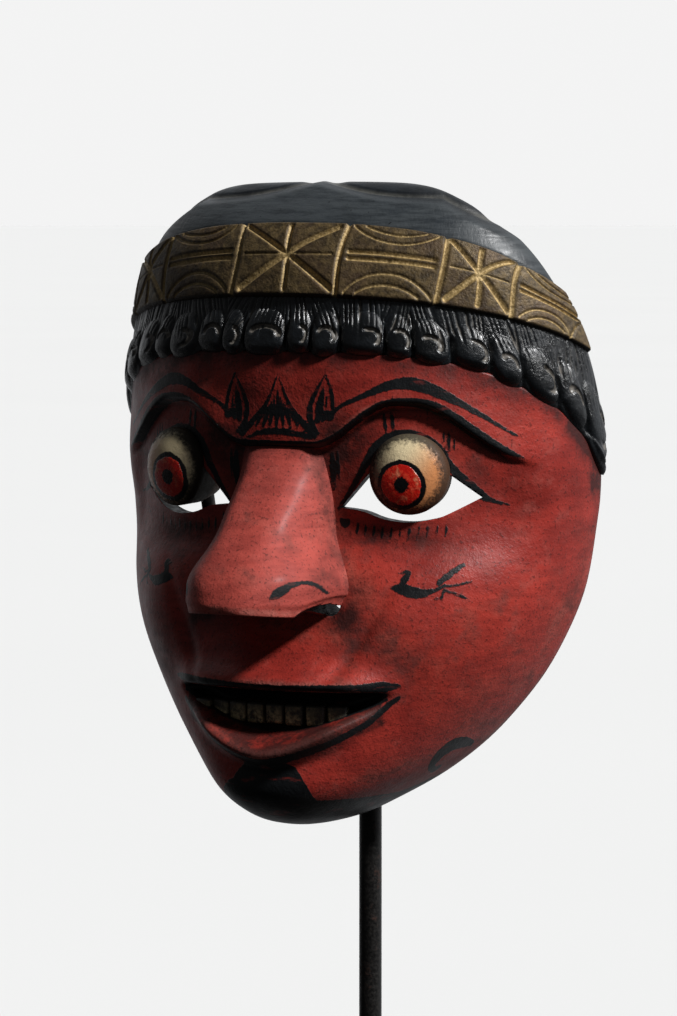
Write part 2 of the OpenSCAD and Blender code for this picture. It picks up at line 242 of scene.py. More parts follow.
def closeShell(bm, rimMaterial=0):
    # merges the poles, joins the front to the back round the rim, and turns the faces outwards
    bmesh.ops.remove_doubles(bm, verts=bm.verts, dist=0.00002)
    rim = [e for e in bm.edges if e.is_boundary]
    for f in bmesh.ops.bridge_loops(bm, edges=rim)["faces"]:
        f.material_index = rimMaterial
    bmesh.ops.recalc_face_normals(bm, faces=bm.faces)


def makePiece(name, bm, materials, body, node, sharp=None):
    mesh = meshOf(name, bm)
    for m in materials:
        mesh.materials.append(m)
    mesh.shade_smooth()
    if sharp:
        mesh.set_sharp_from_angle(angle=math.radians(sharp))
    piece = addObject(name, mesh)
    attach(piece, body)
    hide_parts(node)
    return piece


def cutAway(piece, bm):
    # takes the shape in bm out of the piece
    tool = addObject("cutter", meshOf("cutter", bm))
    step = piece.modifiers.new("cut", "BOOLEAN")
    step.object = tool
    step.solver = "EXACT"
    bpy.context.view_layer.update()
    cutMesh = bpy.data.meshes.new_from_object(piece.evaluated_get(bpy.context.evaluated_depsgraph_get()))
    piece.modifiers.clear()
    piece.data = cutMesh
    bpy.data.objects.remove(tool)


def vertexPlaces(piece):
    # every vertex in the carving's millimetres
    co = np.zeros(len(piece.data.vertices) * 3)
    piece.data.vertices.foreach_get("co", co)
    return co.reshape(-1, 3) * 1000 - [0, 0, eyeLevel]


def giveValue(piece, name, values):
    layer = piece.data.attributes.new(name, "FLOAT", "POINT")
    layer.data.foreach_set("value", np.asarray(values, np.float32))


def unrolled(x, z, y=None):
    # distance round the face instead of across it, so that a stroke keeps its width on the sides
    q = levelAt(levelOf(z))
    half, deep = np.maximum(q[..., 1], 5), np.maximum(q[..., 2] + q[..., 3], 5)
    power = 1 / squareness(z)
    side = np.clip(np.abs(x) / half, 0, 1) ** power
    front = np.sqrt(1 - side ** 2) if y is None else np.clip((q[..., 3] - y) / deep, 0, 1) ** power
    turn = np.arctan2(side, front)
    return np.sign(x) * (half * (turn / 2 + np.sin(2 * turn) / 4) + deep * (turn / 2 - np.sin(2 * turn) / 4))


def inkOf(strokes, x, y, z, roundTheSide=()):
    # how far each spot lies inside the nearest stroke, in millimetres; outside is negative
    ink = np.full(len(x), -9.0)
    across = unrolled(x, z, y)
    for stroke in [*strokes, *roundTheSide]:
        line = smoothLine(stroke)
        lx = line[:, 0] if stroke in roundTheSide else unrolled(line[:, 0], line[:, 1])
        lz, half = line[:, 1], np.maximum(line[:, 2], 0.1)
        reach = half.max() + 3
        near = np.flatnonzero((across > lx.min() - reach) & (across < lx.max() + reach)
                              & (z > lz.min() - reach) & (z < lz.max() + reach))
        if not len(near):
            continue
        sx, sz, best = across[near], z[near], ink[near]
        for i in range(len(line) - 1):
            dx, dz = lx[i + 1] - lx[i], lz[i + 1] - lz[i]
            t = np.clip(((sx - lx[i]) * dx + (sz - lz[i]) * dz) / max(dx * dx + dz * dz, 1e-9), 0, 1)
            far = np.hypot(sx - lx[i] - t * dx, sz - lz[i] - t * dz)
            best = np.maximum(best, half[i] + t * (half[i + 1] - half[i]) - far)
        ink[near] = best
    return ink


def both(strokes):
    # each stroke and its mirror image on the other side
    return [side for stroke in strokes for side in (stroke, [(-x, z, w) for x, z, w in stroke])]


def paintStrokes():
    # each stroke is a line of (x, z, half width); those in pairs are painted on both sides
    eye = face["eyeX"] + 0.5
    brow = [(x, float(browEdge(x)) + 0.3, 0.95 + 0.45 * math.exp(-((x - 44) / 12) ** 2) - 0.8 * (x > 58))
            for x in (0, 6, 12, 16, 20, 25, 29, 33, 37, 42, 47, 52, 57, 62)]
    # the lid line runs over the ball, from the inner corner to the outer
    lid = [(17.6, -9.8, 0.5), (20.7, -5.4, 0.75), (23.6, -0.4, 0.9)]
    lid += [(eye + 10.7 * math.cos(math.radians(turn)), 10.8 * math.sin(math.radians(turn)), 1.15)
            for turn in range(160, 15, -20)]
    lid += [(48.2, 0.4, 1.2), (52.2, -3.8, 1.5), (56.6, -7.2, 0.7), (61, -8.6, 0.15)]
    pairs = [
        brow, lid,
        # line over the brow, and its inner end
        [(15.5, 15.6, 0.8), (19, 18.2, 0.55), (25, 21, 0.8), (32, 23.9, 1.3), (38, 24.2, 1.75),
         (44, 21.8, 1.5), (51, 17.6, 0.85), (61, 10, 0.35)],
        [(15.8, 15.4, 1.3), (14.2, 15.6, 1.2), (13.6, 14.2, 0.5)],
        # crest on the forehead: the outline of its middle leaf, and a small leaf on each side
        [(11.2, 10.2, 0.95), (7, 14.4, 0.85), (3.2, 19, 0.55), (0, 26.6, 0.15)],
        [(12.6, 10.6, 0.5), (10.3, 13.6, 0.85), (9.9, 17.5, 0.8), (11.5, 21.6, 0.6), (14.3, 26.6, 0.15)],
        [(14.3, 26.6, 0.15), (16.2, 21.5, 0.6), (16.6, 17.2, 0.5)],
        [(12.2, 14.2, 0.9), (12.9, 18.6, 1.1), (14, 23.4, 0.15)],
        [(14.6, 17.4, 0.35), (14.9, 20.4, 0.2)],
        # inner corner of the eye
        [(18.6, -12.6, 0.5), (19.8, -13.6, 1.2), (20.6, -12.8, 0.6)],
        # sprig on the cheek
        [(33.4, -30.2, 0.2), (36.6, -30.6, 1.5), (40.2, -31.6, 1.4), (43.6, -31, 0.55), (46, -29.6, 0.5)],
        [(36.6, -28.4, 0.9), (37.6, -26.2, 0.7), (35.4, -26.4, 0.2)],
        [(44.6, -29, 0.6), (47, -26.8, 0.85), (50.4, -24, 0.5)],
        [(45, -29.8, 0.3), (48.4, -29.6, 0.42), (52.2, -28.6, 0.15)],
        [(45.6, -30.8, 0.3), (49, -32, 0.45), (52.6, -34.2, 0.15)],
        [(45.8, -31, 0.3), (45.6, -32.8, 0.35), (43.6, -33, 0.15)]]
    # ticks over the eyes and beside the root of the nose, and lashes under the lids
    for x, z, fall, w in ((30.4, 16.2, 5.4, 0.55), (32.4, 16.6, 5.4, 0.55), (45.3, 11, 3.6, 0.4),
                          (46.4, 11.4, 5.6, 0.45), (47.5, 10.4, 4, 0.35), (17.2, 5.6, 7.5, 0.5),
                          (15.6, 5, 9.5, 1.1)):
        pairs.append([(x, z, w * 0.5), (x + 0.25, z - fall * 0.5, w), (x + 0.4, z - fall, w * 0.4)])
    for x in 23.5 + 2.3 * np.arange(11):
        z = -13.2 - 1.6 * math.exp(-((x - 35) / 9) ** 2)
        pairs.append([(x, z, 0.3), (x - 0.1, z - 1.8, 0.33), (x - 0.3, z - 3.4, 0.1)])
    # hatching and bow of the crest
    single = [[(k * 2.2, 12 + 0.5 * (k % 2), 0.4), (k * 1.5, 16, 0.75), (k * 0.75, 22 - 1.5 * abs(k), 0.2)]
              for k in range(-3, 4)]
    single.append([(-10.4, 8.6, 0.15), (-5.4, 10.5, 0.75), (0, 11, 0.9), (5.6, 10.5, 0.85), (10.4, 9.7, 0.7)])
    # lips
    top, middle = face["lipTop"] + 0.8, face["mouthX"]
    single.append([(middle + x, top + 0.02 * abs(x), w) for x, w in (
        (-33, 0.4), (-28, 1), (-15, 0.9), (0, 0.8), (14, 0.85), (24, 1), (29, 1.5), (33, 0.5))])
    single.append([(middle + x, float(lipOuter(middle + x)) - 0.3, 0.95) for x in range(-30, 29, 4)]
                  + [(middle + 30.5, top - 4.4, 0.9), (middle + 32.6, top - 2.6, 0.7)])
    # beard under the lip and along the chin
    single += [
        [(-0.6, -83.8, 4.3), (5, -82.6, 4.6), (8, -82, 4.7)],
        [(4.9, -85.4, 8.8), (4.8, -88.5, 10.2), (4, -93, 12.5), (2, -97, 16)],
        [(4, -93, 6), (20, -92, 3), (32, -88.5, 1.4), (38, -85, 0.4)],
        [(-2, -93, 6), (-20, -91, 3.4), (-31, -86.5, 1.2)]]
    return both(pairs) + single


# the curl on the left of the jaw, laid out by distance round the side
jawCurl = [(70.5, -75.6, 1), (66, -74.9, 1.9), (61.5, -75.4, 2.2), (58, -77.8, 2.1), (56.8, -80.8, 1.6),
           (58.6, -83, 1), (61, -82, 0.6)]


def mouthInk(x, z):
    # everything behind the lips is painted black
    ends = 30.5 - np.abs(x - face["mouthX"])
    return np.minimum(np.minimum(face["lipTop"] - 0.2 - z, z - lipInner(x) + 0.4), ends)


def paintedShadeAt(x, z):
    # painted shade: darker under the hairline, in the creases and hollows round the eyes, nose and mouth, at
    # the sides of the face above the jaw and on the lower lip's top face
    ax = np.abs(x)
    roundSide = ax / np.maximum(np.interp(z, levels[:, 0], levels[:, 1]), 1)
    hair = 33 - 34 * share(np.degrees(np.arcsin(np.clip(roundSide, 0, 1)))) ** 3.2
    darkening = 0.75 * ramp(9, 0, hair - z)
    for amount, spot in ((0.7, (16, 4, 6, 11)), (0.75, (32, -17.5, 15, 4)), (0.6, (25, 9, 9, 6)),
                         (0.45, (52, 2, 7, 7)), (0.5, (25, -42, 3, 9)), (0.4, (40, -52, 13, 11)),
                         (0.9, (21, -38.5, 4, 3.5))):
        darkening += amount * mound(ax, z, *spot)
    darkening += 0.3 * ramp(0.93, 1.0, roundSide) * ramp(-50, -30, z)
    overLip = z - lipInner(x)
    darkening += 0.9 * ramp(-7, -6, overLip) * ramp(4, 2, overLip) * (np.abs(x - face["mouthX"]) < 29)
    return np.clip(darkening, 0, 1)


def reliefAt(x, z):
    # above zero on ridges of the carving, below zero in its hollows
    away = 2.4
    turns = np.arange(8) * math.pi / 4
    around = sum(carving(x + away * math.cos(t), z + away * math.sin(t)) for t in turns) / len(turns)
    return carving(x, z) - around


def linear(hexColour):
    part = [int(hexColour[i:i + 2], 16) / 255 for i in (1, 3, 5)]
    return [c / 12.92 if c <= 0.04045 else ((c + 0.055) / 1.055) ** 2.4 for c in part] + [1]


def perMm(size):
    # noise scale for features of this size in millimetres
    return 1000 / size


def setSocket(socket, value):
    # value is a number, a hex colour or another node's output
    if isinstance(value, bpy.types.NodeSocket):
        socket.id_data.links.new(value, socket)
    else:
        socket.default_value = linear(value) if isinstance(value, str) else value


def addNode(tree, kind, inputs=None, stops=None, **settings):
    node = tree.nodes.new("ShaderNode" + kind)
    for name, value in settings.items():
        setattr(node, name, value)
    for key, value in (inputs or {}).items():
        setSocket(node.inputs[key], value)
    for i, (at, colour) in enumerate(stops or []):
        stop = node.color_ramp.elements[i] if i < 2 else node.color_ramp.elements.new(at)
        stop.position, stop.color = at, linear(colour)
    return node


def startMaterial(name):
    made = bpy.data.materials.new(name)
    made.use_nodes = True
    return made, addNode(made.node_tree, "TexCoord").outputs["Object"]


def finish(made, sockets, height=None, depth=0.0):
    # gives the shader its values and its bump; depth is the real height of the texture, in millimetres
    tree = made.node_tree
    shader = tree.nodes["Principled BSDF"]
    if height is not None:
        bump = addNode(tree, "Bump", {"Height": height, "Distance": depth / 1000, "Strength": 1.0})
        sockets["Normal"] = bump.outputs["Normal"]
    for name, value in sockets.items():
        setSocket(shader.inputs[name], value)
    return made


def noiseOf(where, size, detail=4.0, roughness=0.55, distortion=0.0):
    return addNode(where.id_data, "TexNoise", {
        "Vector": where, "Scale": perMm(size), "Detail": detail, "Roughness": roughness,
        "Distortion": distortion}).outputs["Fac"]


def stretched(where, x, y, z):
    # a pattern laid on this is drawn out along the axes whose number is small
    return addNode(where.id_data, "Mapping", {"Vector": where, "Scale": (x, y, z)}).outputs[0]


def valueOf(where, name):
    return addNode(where.id_data, "Attribute", attribute_name=name).outputs["Fac"]


def between(value, low, high, toLow=0.0, toHigh=1.0):
    return addNode(value.id_data, "MapRange", {
        "Value": value, "From Min": low, "From Max": high, "To Min": toLow, "To Max": toHigh},
        interpolation_type="SMOOTHSTEP").outputs["Result"]


def calc(operation, a, b, clamp=False):
    tree = (a if isinstance(a, bpy.types.NodeSocket) else b).id_data
    return addNode(tree, "Math", {0: a, 1: b}, operation=operation, use_clamp=clamp).outputs[0]


def plus(a, b, clamp=False):
    return calc("ADD", a, b, clamp)


def times(a, b, clamp=False):
    return calc("MULTIPLY", a, b, clamp)


def layered(colour, *coats):
    # each coat is an amount and a colour, laid over what is there
    for amount, coat in coats:
        colour = addNode(amount.id_data, "Mix", {0: amount, 6: colour, 7: coat}, data_type="RGBA").outputs[2]
    return colour


def agedFacePaint(name, duller=0.0):
    # red oil-bound paint brushed over carved pule wood and varnished: satin, pebbled like orange peel,
    # mottled paler where it has faded and as a painted sheen, darker as painted shade in creases and hollows,
    # black brush strokes on top
    made, where = startMaterial(name)
    broad = noiseOf(where, 30, 5, 0.6, 0.4)
    cloud = noiseOf(where, 7, 6, 0.68)
    pebble = noiseOf(where, 1.5, 3, 0.6)
    speck = noiseOf(where, 0.75, 2, 0.5)
    brushed = noiseOf(stretched(where, 1, 1, 4), 9, 5, 0.6)
    ridge = valueOf(where, "relief")
    paint = addNode(where.id_data, "ValToRGB", {"Fac": broad}, stops=[
        (0.30, "#7c231c"), (0.46, "#9c3027"), (0.56, "#a9372c"), (0.72, "#a34c40")]).outputs["Color"]
    # paler pink mottle, both faded paint and a painted sheen; the duller paint takes more of it
    fadeAndSheen = between(cloud, 0.5, 0.8, 1.5 * duller, 0.45 + duller)
    # lighter on the ridges of the carving: worn paint, and on the nose's tip edge a painted highlight as well
    rubbedAndHighlit = times(between(ridge, 0.35, 1.3), between(cloud, 0.4, 0.6, 0.15, 0.6))
    # painted shade, mottled: the painted shade mask, and darker in the hollows of the carving
    darkening = plus(valueOf(where, "paintedShade"), between(ridge, -0.25, -1.4, 0, 0.8), True)
    mottledShade = times(darkening, between(cloud, 0.28, 0.66, 0.35, 1.5), True)
    smoke = times(between(broad, 0.5, 0.66), between(cloud, 0.45, 0.62, 0, 0.5), True)
    wobble = plus(valueOf(where, "ink"), times(calc("SUBTRACT", pebble, 0.5), 0.9))
    inked = times(between(wobble, -0.2, 0.14), between(brushed, 0.3, 0.42, 0.55, 1.0), True)
    colour = layered(paint,
                     (fadeAndSheen, "#aa5d53"),
                     (between(brushed, 0.35, 0.62, 0.34, 0), "#5e1714"),
                     (rubbedAndHighlit, "#c8786c"),
                     (between(speck, 0.57, 0.7, 0, 0.55), "#2b0f0d"),
                     (times(mottledShade, 0.86, True), "#190d0c"),
                     (smoke, "#3a1a18"),
                     (inked, "#0d0f11"))
    satin = plus(between(cloud, 0.3, 0.7, 0.42 + duller, 0.56 + duller), times(mottledShade, 0.1))
    grain = plus(times(noiseOf(where, 0.55, 2, 0.5), 0.35),
                 plus(times(pebble, 0.75), times(inked, 0.25)))
    return finish(made, {"Base Color": colour, "Roughness": satin, "Specular IOR Level": 0.26,
                         "Coat Weight": 0.14 - 0.5 * duller, "Coat Roughness": 0.27}, grain, 0.22)


def oldWood(name):
    # hand-hollowed wood, darkened by handling: matt, with long grain and the facets of the gouge
    made, where = startMaterial(name)
    grain = noiseOf(stretched(where, 1, 1, 0.12), 4, 6, 0.7, 0.6)
    stain = noiseOf(where, 24, 5, 0.6)
    facets = addNode(where.id_data, "TexVoronoi", {"Vector": where, "Scale": perMm(9)}, feature="SMOOTH_F1")
    colour = layered("#2c1d12", (between(grain, 0.35, 0.68), "#5a4028"),
                     (between(stain, 0.42, 0.7, 0, 0.7), "#17100c"))
    return finish(made, {"Base Color": colour, "Roughness": between(stain, 0.3, 0.7, 0.54, 0.82)},
                  plus(times(facets.outputs["Distance"], 1.4), grain), 0.35)


def flatBlack(name):
    # lampblack paint in the cuts: nearly no colour, a dull sheen at the edges
    made, where = startMaterial(name)
    worn = noiseOf(where, 2.2, 4, 0.6)
    colour = layered("#08090a", (between(worn, 0.58, 0.75, 0, 0.6), "#3b342e"))
    return finish(made, {"Base Color": colour, "Roughness": between(worn, 0.3, 0.7, 0.4, 0.65)}, worn, 0.15)


def lengthOf(x, y):
    flat = addNode(x.id_data, "CombineXYZ", {"X": x, "Y": y}).outputs[0]
    return addNode(x.id_data, "VectorMath", {0: flat}, operation="LENGTH").outputs["Value"]


def eyePaint(name, side, seed):
    # enamelled wooden ball: cream that warms to orange on the outer side, painted shade on the inner side,
    # black rim and ring, glossy red iris with painted reflections
    made, where = startMaterial(name)
    tree = where.id_data
    centre = Vector(inFrame([side * face["eyeX"], face["eyeY"], 0]))
    local = addNode(tree, "Mapping", {"Vector": where, "Location": -centre}, vector_type="POINT").outputs[0]
    turned = addNode(tree, "VectorRotate", {"Vector": local, "Axis": (0, 0, 1),
                                            "Angle": -math.radians(face["eyeTurn"]) * side}).outputs[0]
    inMm = addNode(tree, "VectorMath", {0: turned, "Scale": 1000}, operation="SCALE").outputs[0]
    parts = addNode(tree, "SeparateXYZ", {"Vector": inMm})
    across, back, up = (parts.outputs[axis] for axis in "XYZ")
    shifted = addNode(tree, "Mapping", {"Vector": where, "Location": (seed, 0, seed)}).outputs[0]
    wave = noiseOf(shifted, 3.4, 4, 0.6)
    fine = noiseOf(shifted, 1.0, 4, 0.7)
    wobble = times(calc("SUBTRACT", wave, 0.5), 1.6)
    fromIris = lengthOf(plus(across, 1.1 * side), plus(up, 2.6))
    ring = plus(fromIris, wobble)
    ray = plus(fromIris, times(calc("SUBTRACT", fine, 0.5), 1.8))
    warm = between(plus(times(across, side), times(up, -0.5)), -4, 8)
    # darker grey-brown towards the inner side of the ball: painted shade
    innerShade = between(plus(times(across, -side), times(wobble, 2.5)), 1, 8)
    # darker towards the rim, and dark on the side of the peg behind it
    edge = between(plus(lengthOf(across, up), times(fine, 5)), 10.2, 12.6)
    darkening = calc("MAXIMUM", edge, between(back, -6, -5))
    white = layered("#e2cfa6", (warm, "#d08a58"), (times(innerShade, 0.8), "#3b332a"),
                    (times(darkening, 0.92), "#15130f"))
    # pale orange-pink patches in the red: painted reflections
    red = layered("#c31a12", (between(fine, 0.45, 0.7), "#e2452c"),
                  (between(wave, 0.52, 0.7), "#d97a5a"))
    outer = layered("#0b0c0e", (between(ring, 6.6, 6.9), white))
    disc = layered(red, (between(ring, 5.3, 5.6), outer))
    colour = layered("#090a0b", (between(ray, 1.9, 2.3), disc),
                     (between(back, 0, 1), "#4a3524"))
    gloss = plus(between(fine, 0.3, 0.7, 0.18, 0.34), times(darkening, 0.4))
    return finish(made, {"Base Color": colour, "Roughness": gloss, "Specular IOR Level": 0.3,
                         "Coat Weight": between(darkening, 0, 1, 0.4, 0), "Coat Roughness": 0.12},
                  plus(fine, between(ring, 5.3, 5.6, 0.9, 0)), 0.2)


def toothPaint(name):
    # gilt and lampblack rubbed over wood: dirty gold on the crowns, black between them, and dark along the
    # tops as painted shade under the lip
    made, where = startMaterial(name)
    worn = noiseOf(where, 2.4, 6, 0.72)
    fine = noiseOf(where, 0.9, 3, 0.6)
    gilt = layered("#8f8160", (between(fine, 0.35, 0.7), "#dcc898"))
    amount = times(between(worn, 0.36, 0.56), valueOf(where, "crown"), True)
    return finish(made, {"Base Color": layered("#35302a", (amount, gilt)),
                         "Roughness": between(amount, 0, 1, 0.5, 0.3),
                         "Metallic": times(amount, 0.35)}, worn, 0.25)


def hairPaint(name):
    # glossy black enamel on the curls, grey in the cuts between strands and in the curls' hooks: worn through
    # to the ground, and a painted highlight
    made, where = startMaterial(name)
    worn = noiseOf(where, 1.4, 5, 0.7)
    cloud = noiseOf(where, 8, 4, 0.6)
    wornAndHighlit = times(between(valueOf(where, "cut"), 0.3, 0.85), between(worn, 0.3, 0.56), True)
    colour = layered("#0c0e10", (between(cloud, 0.4, 0.7), "#161a1e"),
                     (times(wornAndHighlit, 0.8), "#6d675f"))
    gloss = plus(between(cloud, 0.35, 0.65, 0.24, 0.38), times(wornAndHighlit, 0.3))
    return finish(made, {"Base Color": colour, "Roughness": gloss, "Coat Weight": 0.3, "Coat Roughness": 0.2},
                  worn, 0.3)


def bronzeGilding(name):
    # bronze powder paint, rubbed brown with age on the ground, bright in the cut lines as gilding and a
    # painted highlight on the groove walls, darker along the edges
    made, where = startMaterial(name)
    worn = noiseOf(where, 2.2, 6, 0.7)
    fine = noiseOf(where, 0.7, 3, 0.6)
    cloud = noiseOf(where, 14, 4, 0.6)
    gold = layered("#8f774a", (between(fine, 0.35, 0.7), "#c1a673"))
    # bright gold in the cut lines: gilding, and a painted highlight on the groove walls
    bright = times(between(valueOf(where, "cut"), 0.15, 0.6),
                   between(worn, 0.3, 0.5, 0.45, 1.0), True)
    # darker along the band's top and bottom edges
    edgeDark = times(between(valueOf(where, "edge"), 0.1, 0.9),
                  between(worn, 0.3, 0.6, 0.4, 1.0), True)
    colour = layered("#3c301d", (between(worn, 0.35, 0.68), "#6f5c3b"),
                     (between(cloud, 0.45, 0.65, 0, 0.45), "#4c382c"), (bright, gold), (edgeDark, "#1e160e"))
    return finish(made, {"Base Color": colour, "Roughness": between(fine, 0.3, 0.7, 0.46, 0.62),
                         "Metallic": 0.25}, plus(fine, worn), 0.22)


def capPaint(name):
    # indigo-black paint worn to a chalky blue-grey on the front face, streaked along the brush
    made, where = startMaterial(name)
    streaks = noiseOf(stretched(where, 0.14, 0.14, 1), 1.6, 5, 0.65)
    cloud = noiseOf(where, 9, 5, 0.65)
    nicks = noiseOf(stretched(where, 1, 1, 0.14), 1.4, 3, 0.6)
    front = valueOf(where, "front")
    rubbedAndHighlit = times(front, between(streaks, 0.32, 0.6, 0.35, 1.0), True)
    creased = times(valueOf(where, "cut"), between(cloud, 0.35, 0.55, 0.3, 0.9))
    colour = layered("#0e1216", (between(cloud, 0.35, 0.7), "#1b2127"),
                     (times(rubbedAndHighlit, 0.85), "#3b4043"), (creased, "#55544f"),
                     (times(between(nicks, 0.66, 0.74), front), "#0a0b0d"))
    return finish(made, {"Base Color": colour, "Roughness": between(streaks, 0.3, 0.7, 0.36, 0.52)},
                  plus(streaks, times(nicks, 0.6)), 0.18)


def blackIron(name, rust):
    # mild steel rod, forge-blackened and waxed: dark satin, brown rust freckles where it is handled
    made, where = startMaterial(name)
    cloud = noiseOf(where, 6, 6, 0.7)
    fine = noiseOf(where, 0.9, 4, 0.65)
    rusty = times(between(cloud, 0.68 - 0.3 * rust, 0.86 - 0.3 * rust),
                  between(fine, 0.42, 0.6), True)
    colour = layered("#111010", (between(fine, 0.35, 0.7), "#262422"),
                     (times(rusty, 0.8), "#4a2718"))
    satin = plus(between(fine, 0.3, 0.7, 0.36, 0.5), times(rusty, 0.3))
    return finish(made, {"Base Color": colour, "Roughness": satin, "Metallic": 0.5},
                  plus(fine, cloud), 0.12)


def turnedMetal(name, low, high, gloss):
    # lathe-turned metal: fine rings about the upright axis, a bright satin
    made, where = startMaterial(name)
    rings = noiseOf(stretched(where, 0.1, 0.1, 1), 0.35, 2)
    cloud = noiseOf(where, 5, 4, 0.6)
    return finish(made, {"Base Color": layered(low, (between(cloud, 0.35, 0.7), high)),
                         "Roughness": between(cloud, 0.3, 0.7, gloss, gloss + 0.14),
                         "Metallic": 1.0}, rings, 0.02)


def softPlastic(name):
    # heat-shrink sleeve: black polyolefin, soft sheen, faint wrinkles round the bar
    made, where = startMaterial(name)
    wrinkle = noiseOf(stretched(where, 0.3, 0.3, 1), 0.9, 3)
    return finish(made, {"Base Color": layered("#101112", (wrinkle, "#1b1c1e")),
                         "Roughness": between(wrinkle, 0.3, 0.7, 0.42, 0.56)}, wrinkle, 0.08)


def stainedFoot(name):
    # ebonised beech: black stain that lets the straight grain show, open satin wax
    made, where = startMaterial(name)
    grain = noiseOf(stretched(where, 0.07, 1, 1), 1.8, 6, 0.7, 0.3)
    cloud = noiseOf(where, 30, 4, 0.5)
    colour = layered("#0e0c0b", (between(grain, 0.4, 0.68), "#2a211b"),
                     (between(cloud, 0.4, 0.7, 0, 0.4), "#1a1512"))
    return finish(made, {"Base Color": colour, "Roughness": between(grain, 0.3, 0.7, 0.36, 0.5)},
                  grain, 0.06)


def woolFelt(name):
    # pressed wool felt: matt, matted fibres
    made, where = startMaterial(name)
    fibre = noiseOf(where, 0.8, 6, 0.8, 1.5)
    return finish(made, {"Base Color": layered("#10150f", (fibre, "#2c3a2a")), "Roughness": 0.95,
                         "Sheen Weight": 0.4}, fibre, 0.3)


def biteLeather(name):
    # vegetable-tanned strap, dark from use: satin, creased grain
    made, where = startMaterial(name)
    cells = addNode(where.id_data, "TexVoronoi", {"Vector": where, "Scale": perMm(1.1)},
                    feature="DISTANCE_TO_EDGE")
    cloud = noiseOf(where, 6, 5, 0.6)
    return finish(made, {"Base Color": layered("#2b170c", (between(cloud, 0.35, 0.7), "#5c3820")),
                         "Roughness": between(cloud, 0.3, 0.7, 0.42, 0.62)},
                  between(cells.outputs["Distance"], 0, 0.12), 0.12)


print("materials and tools ready")

sunk = 3.0      # the wood is carved back this far under the hair, the band and the cap


def faceRow(u, t, faceShare):
    # the level and angle of a spot, with rows an even distance apart down the middle of the face
    angle = columnAngle(u)
    s = np.linspace(0, float(hairLine(0)), 400)
    length = lengthAlong(dome(s, np.zeros(400)))
    hair = hairLine(angle)
    return np.where(t <= faceShare, hair * np.interp(t / faceShare, length / length[-1], s / s[-1]),
                    hair + (topLevel - hair) * (t - faceShare) / (1 - faceShare)), angle


def faceSkin(u, t, faceShare):
    s, angle = faceRow(u, t, faceShare)
    onFace = t <= faceShare
    points = dome(s, angle)
    points[onFace, 1] -= carving(points[onFace, 0], points[onFace, 2])
    points[~onFace] -= sunk * outward(s, angle)[~onFace]
    return points


def faceHollow(u, t, faceShare):
    s, angle = faceRow(u, t, faceShare)
    points = dome(s, angle)
    thicker = 5 * mound(points[:, 0], points[:, 2], 0, -64, 40, 15) * np.cos(np.radians(angle))
    return points - (face["wall"] + thicker)[:, None] * outward(s, angle)


# from the outer corner of the left eye to the inner
lowerLid = [(18.5, -6.3), (11.5, -10), (7, -11.9), (0, -13), (-7, -12.2), (-13, -10.2), (-19.4, -9.4)]


def intoEyePlace(bm, side):
    # from millimetres round the middle of an eye to its place in the frame, turned outward
    turn = Matrix.Rotation(math.radians(face["eyeTurn"]) * side, 3, "Z")
    for v in bm.verts:
        v.co = inFrame(turn @ v.co + Vector((side * face["eyeX"], face["eyeY"], 0)))


def eyeCutter(side):
    # the lids' opening: a round seat for the ball, open at its sides and underneath
    seat = face["ball"] - 0.6
    bm = bmesh.new()
    outline = [(seat * math.cos(math.radians(turn)), seat * math.sin(math.radians(turn)))
               for turn in range(176, -1, -8)]
    outline += [tuple(p) for p in smoothLine(lowerLid)] + [(-12.5, -1.5)]
    front, through = -20, 36
    flat = bm.faces.new([bm.verts.new((side * x, front, z)) for x, z in outline])
    back = bmesh.ops.extrude_face_region(bm, geom=[flat])["geom"]
    bmesh.ops.translate(bm, verts=[v for v in back if isinstance(v, bmesh.types.BMVert)], vec=(0, through, 0))
    intoEyePlace(bm, side)
    for f in bm.faces:
        f.material_index = 2
    bmesh.ops.recalc_face_normals(bm, faces=bm.faces)
    return bm


nostril = {
    "x": 18.6,
    "y": -70.0,
    "z": -38.8,
    "tilt": -78.0,      # degrees, so that it runs back through the shell
    "front": 2.7,       # radius under the nose
    "back": 2.4,
    "length": 46.0,
}


def nostrilCutter(side, material):
    bm = bmesh.new()
    start = Matrix.Translation(Vector(inFrame([side * nostril["x"], nostril["y"], nostril["z"]])))
    length = nostril["length"] / 1000
    bmesh.ops.create_cone(bm, cap_ends=True, segments=24, radius1=nostril["front"] / 1000,
                          radius2=nostril["back"] / 1000, depth=length,
                          matrix=start @ Matrix.Rotation(math.radians(nostril["tilt"]), 4, "X")
                          @ Matrix.Translation((0, 0, length / 2)))
    for f in bm.faces:
        f.material_index = material
    return bm


def giveFaceValues(piece, strokes):
    x, y, z = vertexPlaces(piece).T
    giveValue(piece, "ink", np.maximum(inkOf(strokes, x, y, z, [jawCurl]), mouthInk(x, z)))
    giveValue(piece, "paintedShade", paintedShadeAt(x, z))
    giveValue(piece, "relief", reliefAt(x, z))


def makeMaskFace(paint, wood, black):
    rows = face["faceRows"] + face["headRows"]
    faceShare = face["faceRows"] / rows
    bm = bmesh.new()
    verts, u, t = unitGrid(bm, face["columns"], rows)
    moveTo(verts, inFrame(faceSkin(u, t, faceShare)))
    outer = len(bm.faces)
    verts, u, t = unitGrid(bm, face["innerColumns"], rows)
    moveTo(verts, inFrame(faceHollow(u, t, faceShare)))
    for i, f in enumerate(bm.faces):
        f.material_index = 0 if i < outer else 1
    closeShell(bm, 1)
    piece = makePiece("maskFace", bm, [paint, wood, black], "mask", "mask_shell")
    for side in (-1, 1):
        cutAway(piece, eyeCutter(side))
        cutAway(piece, nostrilCutter(side, 2))
    giveFaceValues(piece, paintStrokes())
    print("mask face carved:", len(piece.data.polygons), "faces")
    return piece


nose = {
    "reach": 27.8,     # how far the tip stands forward
    "half": 23.3,      # half width across the wings
    "rootZ": 7.4,
    "length": 42.8,
    "columns": 130,
    "ridgeRows": 130,
    "underRows": 34,
    "sunk": 1.1,       # its edge is let into the face by this much
}


